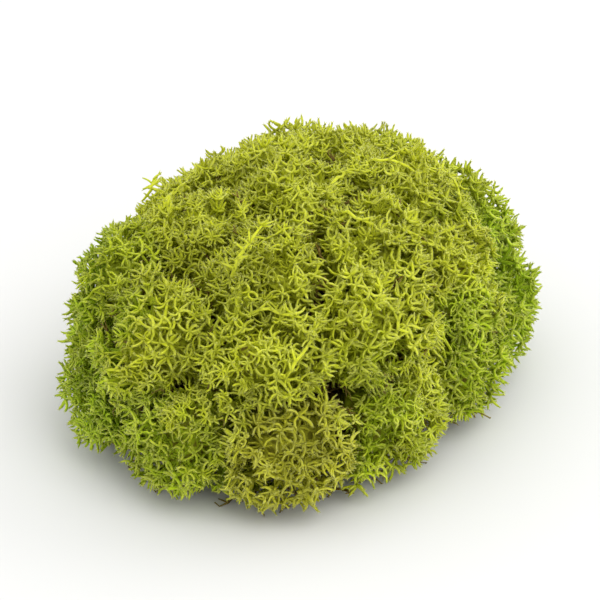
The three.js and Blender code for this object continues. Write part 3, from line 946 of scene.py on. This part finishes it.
def makeSprigTree():
    # grows sprigs all over a body, most densely where it faces down
    tree, given = makeTree("sprigsOnMat", "GeometryNodeTree", {
        "Mat": ("Geometry",), "Spacing": ("Float", 3 * mm), "Density": ("Float", 400000.0),
        "Upper Share": ("Float", 0.5), "Lean": ("Float", 0.5), "Smallest": ("Float", 0.8),
        "Largest": ("Float", 1.4), "Press Depth": ("Float", 1.2 * mm), "Seed": ("Int", 1),
        "Sprigs": ("Collection",), "Material": ("Material",)}, {"Overgrown": ("Geometry",)})
    normal = addNode(tree, "GeometryNodeInputNormal").outputs["Normal"]
    facesUp = addNode(tree, "ShaderNodeSeparateXYZ", {"Vector": normal})
    share = addNode(tree, "ShaderNodeMapRange", {
        "Value": facesUp.outputs["Z"], "From Min": -1.0, "From Max": 0.0,
        "To Min": 1.0, "To Max": given["Upper Share"]})
    points = addNode(tree, "GeometryNodeDistributePointsOnFaces", {
        "Mesh": given["Mat"], "Distance Min": given["Spacing"], "Density Max": given["Density"],
        "Density Factor": share.outputs["Result"], "Seed": given["Seed"]}, distribute_method="POISSON")
    upright = scaled(tree, points.outputs["Normal"], given["Lean"])
    way = vectorMaths(tree, "ADD", upright, anyWay(tree, given["Seed"]))
    size = addNode(tree, "FunctionNodeRandomValue", {
        2: given["Smallest"], 3: given["Largest"],
        "Seed": maths(tree, "ADD", given["Seed"], matPlan["sizeSeed"])}, data_type="FLOAT")
    sprigs = addNode(tree, "GeometryNodeInstanceOnPoints", {
        "Points": points.outputs["Points"], "Instance": shapesOf(tree, given["Sprigs"]),
        "Pick Instance": True, "Rotation": facing(tree, way), "Scale": socketOf(size.outputs, "VALUE")})
    parts = (given["Mat"], sprigs.outputs["Instances"])
    finishTree(tree, parts, given["Press Depth"], given["Material"])
    return tree


def moundInto(shape, share, lowest):
    # a squarish dome on the ground, roughened with lumps and fibres
    plan = matPlan
    made = bmesh.ops.create_icosphere(shape, subdivisions=plan["detail"], radius=1.0)
    half = Vector((share[0] * cadSize.x / 2, share[1] * cadSize.y / 2, share[2] * cadSize.z))
    lumpHeight, lumpSize = plan["lump"]
    fibreHeight, fibreSize = plan["fibre"]
    for vert in made["verts"]:
        way = vert.co.normalized()
        point = Vector((way.x * half.x, way.y * half.y, max(way.z * half.z, -plan["belly"] * half.z)))
        rough = lumpHeight * noise.noise(point / lumpSize) + fibreHeight * noise.noise(point / fibreSize)
        vert.co = point + way * rough
        vert.co.z = max(vert.co.z, lowest)


def buildMat():
    plan = matPlan
    shape = bmesh.new()
    moundInto(shape, plan["moundShare"], plan["moundFoot"])
    moundInto(shape, plan["padShare"], plan["padFoot"])
    bmesh.ops.recalc_face_normals(shape, faces=shape.faces)
    mesh = bpy.data.meshes.new("deadMat")
    shape.to_mesh(mesh)
    shape.free()
    mat = addObject("deadMat", mesh)
    smallest, largest = plan["sprigSize"]
    settled(mat, makeSprigTree(), {
        "Spacing": plan["sprigSpacing"], "Upper Share": plan["upperShare"], "Lean": plan["sprigLean"],
        "Smallest": smallest, "Largest": largest, "Seed": plan["seed"], "Sprigs": makeSprigs(),
        "Material": materials["deadStalk"]})
    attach(mat, "root")
    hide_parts("dead_stalk_mat")
    print("mat made:", triangleCount(mat.data), "triangles")


def laySprig(litter, place, way, plan, random):
    turn = Vector(way).to_track_quat("Z", "Y")
    litter.graft(growSprig(random), turn, random.uniform(*plan["size"]), place)


def finishLitter(litter, name, plan):
    piece = settled(litter.toObject(name), twigTree, twigValues("dead_stalk", plan["seed"]))
    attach(piece, "root")
    return piece


def buildCreases(creases):
    # dead sprigs that show in the creases between heads
    plan = creasePlan
    random = np.random.default_rng(plan["seed"])
    places = np.array([place for place, outward in creases])
    kept = thinned(places, np.full(len(places), plan["spacing"]), random)
    litter = Skeleton()
    for place in kept:
        outward = creases[int(nearest(place[None], places)[0])][1]
        laySprig(litter, place, outward + plan["stray"] * random.normal(size=3), plan, random)
    sprigs = finishLitter(litter, "deadCreases", plan)
    print("creases filled:", len(kept), "sprigs,", triangleCount(sprigs.data), "triangles")


def buildSkirt():
    # loose dead sprigs that lie round the pad, under the lowest heads
    plan = skirtPlan
    random = np.random.default_rng(plan["seed"])
    litter = Skeleton()
    for ring in plan["rings"]:
        for i in range(ring["count"]):
            turn = 2 * math.pi * (i + random.uniform(-plan["stagger"], plan["stagger"])) / ring["count"]
            outline = np.array([math.cos(turn) * cadSize.x / 2, math.sin(turn) * cadSize.y / 2, 0])
            place = outline * ring["at"]
            place[2] = plan["height"]
            aside = turn + random.uniform(-plan["stray"], plan["stray"])
            way = (math.cos(aside), math.sin(aside), random.uniform(*plan["lift"]))
            laySprig(litter, place, way, plan, random)
    skirt = finishLitter(litter, "deadSkirt", plan)
    print("skirt made:", triangleCount(skirt.data), "triangles")


creases = buildHeads()
buildCreases(creases)
buildMat()
buildSkirt()


# A pale floor, soft light from above and a camera that looks down on the clump's near end.
stagePlan = {"floor": 12.0, "colour": (0.80, 0.80, 0.79), "roughness": 0.9}
lightPlan = {
    "world": 1.05,
    "keyLight": {"place": (-0.35, -0.75, 1.15), "size": 1.1, "power": 6},
    "fillLight": {"place": (0.95, -0.5, 0.6), "size": 1.2, "power": 3},
}
cameraPlan = {
    "azimuth": -58.4, "elevation": 30.1, "distance": 0.888, "aim": (0.0, 0.0, 0.025),
    "lens": 235, "sensor": 36,
}


def buildStage():
    half = stagePlan["floor"] / 2
    corners = [(-half, -half, 0), (half, -half, 0), (half, half, 0), (-half, half, 0)]
    mesh = bpy.data.meshes.new("floor")
    mesh.from_pydata(corners, [], [(0, 1, 2, 3)])
    floor = addObject("floor", mesh)
    material = bpy.data.materials.new("paleFloor")
    material.use_nodes = True
    shader = material.node_tree.nodes["Principled BSDF"]
    shader.inputs["Base Color"].default_value = (*stagePlan["colour"], 1)
    shader.inputs["Roughness"].default_value = stagePlan["roughness"]
    mesh.materials.append(material)


def addLight(name):
    plan = lightPlan[name]
    light = bpy.data.lights.new(name, "AREA")
    light.shape = "DISK"
    light.size = plan["size"]
    light.energy = plan["power"]
    lamp = addObject(name, light)
    lamp.location = plan["place"]
    lamp.rotation_euler = (lamp.location - Vector(cameraPlan["aim"])).to_track_quat("Z", "Y").to_euler()


def buildLight():
    world = bpy.data.worlds.new("studio")
    world.use_nodes = True
    background = world.node_tree.nodes["Background"]
    background.inputs["Color"].default_value = (1, 1, 1, 1)
    background.inputs["Strength"].default_value = lightPlan["world"]
    bpy.context.scene.world = world
    addLight("keyLight")
    addLight("fillLight")
    bpy.context.scene.view_settings.view_transform = "Standard"


def buildCamera():
    lens = bpy.data.cameras.new("camera")
    lens.lens = cameraPlan["lens"]
    lens.sensor_width = cameraPlan["sensor"]
    turn = math.radians(cameraPlan["azimuth"])
    tilt = math.radians(cameraPlan["elevation"])
    back = Vector((math.sin(turn) * math.cos(tilt), -math.cos(turn) * math.cos(tilt), math.sin(tilt)))
    camera = addObject("camera", lens)
    camera.location = Vector(cameraPlan["aim"]) + back * cameraPlan["distance"]
    camera.rotation_euler = back.to_track_quat("Z", "Y").to_euler()
    bpy.context.scene.camera = camera


buildStage()
buildLight()
buildCamera()
print("floor, light and camera placed")
